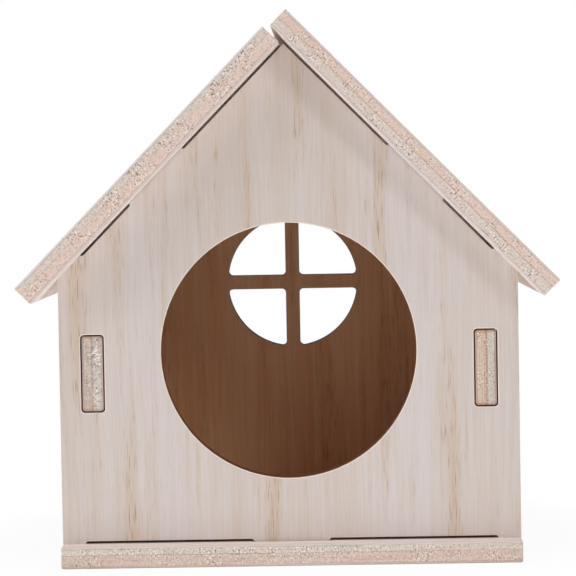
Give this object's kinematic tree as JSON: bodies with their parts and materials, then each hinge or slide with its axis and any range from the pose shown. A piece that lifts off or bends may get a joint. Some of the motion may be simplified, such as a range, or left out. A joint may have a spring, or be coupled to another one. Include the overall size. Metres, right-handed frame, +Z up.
{
  "type": "small animal house",
  "caption": "Plywood hideout for a small pet: boards slot together on a flat floor, with a round door in front, a round barred window behind and pitched roof boards that lift off.",
  "frame": {"origin": "on the ground under the middle of the floor board", "axes": "+Z up, +X to the right as the door is seen, -Y the way the door faces"},
  "size_m": [0.2916, 0.26, 0.2994],
  "materials": {
    "panel_plywood": "bare sanded plywood, pale veneer with fine straight grain running upwards",
    "roof_plywood": "bare sanded plywood, pale veneer with the plies open on the sawn edges",
    "floor_plywood": "bare sanded plywood, pale veneer with the plies open on the sawn edges"
  },
  "bodies": {
    "floor": {"base": "floor_plywood"},
    "house": {"front_panel": "panel_plywood", "back_panel": "panel_plywood", "left_wall": "panel_plywood", "right_wall": "panel_plywood"},
    "roof_left": {"left_roof": "roof_plywood"},
    "roof_right": {"right_roof": "roof_plywood"}
  },
  "joints": [
    {"name": "house_lift", "type": "slide", "parent": "floor", "child": "house", "axis": [0, 0, 1], "range_m": [0, 0.04]},
    {"name": "left_roof_lift", "type": "slide", "parent": "house", "child": "roof_left", "axis": [-0.7133, 0, 0.7009], "range_m": [0, 0.04]},
    {"name": "right_roof_lift", "type": "slide", "parent": "house", "child": "roof_right", "axis": [0.7133, 0, 0.7009], "range_m": [0, 0.04]}
  ]
}
